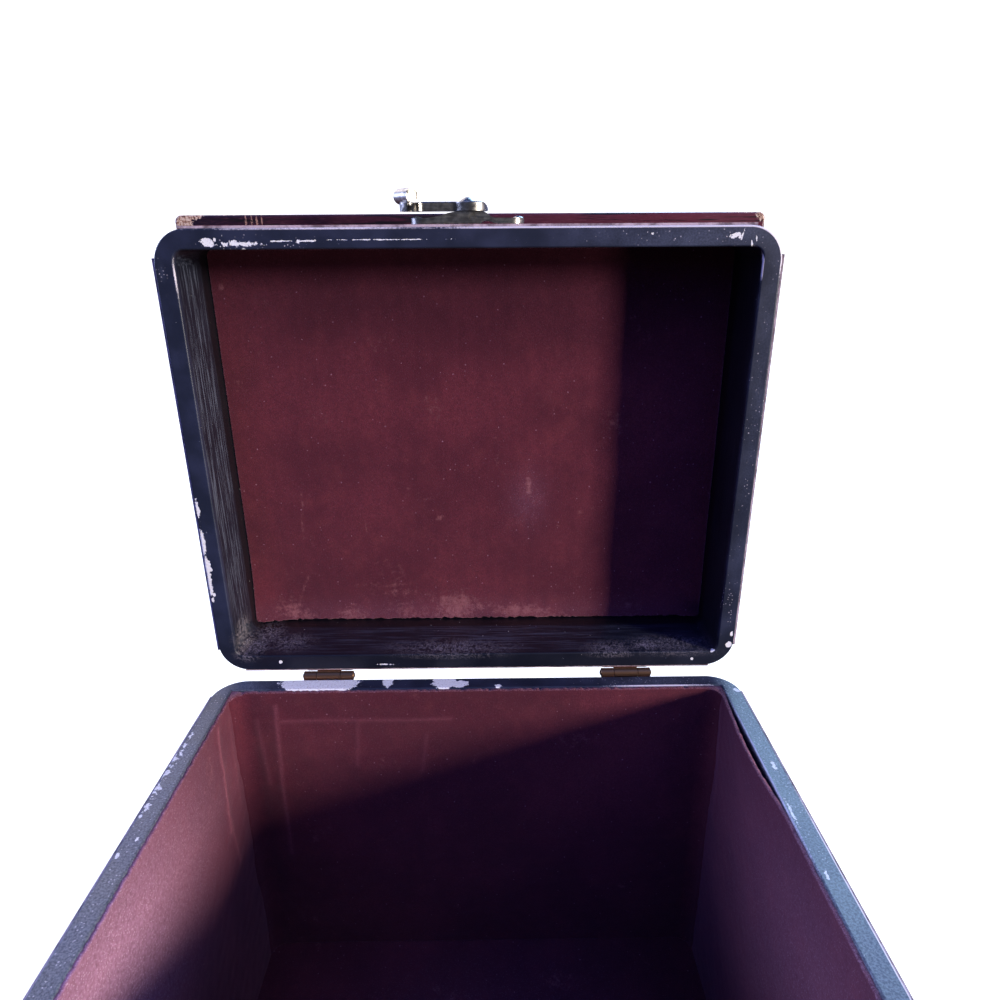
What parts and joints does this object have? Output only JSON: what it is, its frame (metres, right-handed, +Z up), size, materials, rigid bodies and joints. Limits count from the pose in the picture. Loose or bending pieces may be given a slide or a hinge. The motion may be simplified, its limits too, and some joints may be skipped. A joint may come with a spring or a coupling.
{
  "type": "keepsake box",
  "caption": "Rectangular keepsake box in dark wood with rounded corners, an upright hinged lid, flocked lining and a swing-hook clasp.",
  "frame": {"origin": "centre of the bottom board's underside, measured over the walls of the case", "axes": "+X to the right, +Y from the clasp side to the hinge side, +Z up; the lid stands open at 90 degrees"},
  "size_m": [0.258, 0.2572, 0.3956],
  "materials": {
    "black_paint": "brushed blue-black paint on wood, worn and chipped at the edges",
    "red_lacquer": "dark red lacquer with black streaks on wood, worn at the corners",
    "red_panel": "thin dark red lacquered panel with black streaks and a dark border",
    "flock_lining": "maroon flocked lining on card, rubbed and creased",
    "pewter": "dull silver-grey cast and sheet metal, tarnished in the hollows",
    "aged_brass": "tarnished coppery brass"
  },
  "bodies": {
    "box": {"box_back_lining": "flock_lining", "box_back_panel": "red_panel", "box_back_wall": "black_paint", "box_bottom_board": "red_lacquer", "box_corner_posts": "black_paint", "box_floor_lining": "flock_lining", "box_front_lining": "flock_lining", "box_front_panel": "red_panel", "box_front_wall": "black_paint", "box_left_lining": "flock_lining", "box_left_panel": "red_panel", "box_left_wall": "black_paint", "box_right_lining": "flock_lining", "box_right_panel": "red_panel", "box_right_wall": "black_paint", "hinge_box_screws": "aged_brass", "keeper_plate": "pewter", "keeper_stud": "pewter", "keeper_tacks": "pewter", "left_hinge_box_leaf": "aged_brass", "left_hinge_pin": "aged_brass", "right_hinge_box_leaf": "aged_brass", "right_hinge_pin": "aged_brass"},
    "lid": {"clasp_rivet": "pewter", "clasp_saddle": "pewter", "clasp_tacks": "pewter", "hinge_lid_screws": "aged_brass", "left_hinge_lid_leaf": "aged_brass", "lid_back_panel": "red_panel", "lid_back_rail": "black_paint", "lid_corner_posts": "black_paint", "lid_front_panel": "red_panel", "lid_front_rail": "black_paint", "lid_left_panel": "red_panel", "lid_left_rail": "black_paint", "lid_lining": "flock_lining", "lid_right_panel": "red_panel", "lid_right_rail": "black_paint", "lid_top_board": "red_lacquer", "lid_top_panel": "red_panel", "right_hinge_lid_leaf": "aged_brass"},
    "hook": {"clasp_hook": "pewter"}
  },
  "joints": [
    {"name": "lid_hinge", "type": "hinge", "parent": "box", "child": "lid", "pos_m": [0, 0.1043, 0.176], "axis": [1, 0, 0], "range_deg": [0, 90]},
    {"name": "hook_swing", "type": "hinge", "parent": "lid", "child": "hook", "pos_m": [-0.0005, 0.1116, 0.3813], "axis": [0, 0, 1], "range_deg": [-60, 90]}
  ]
}
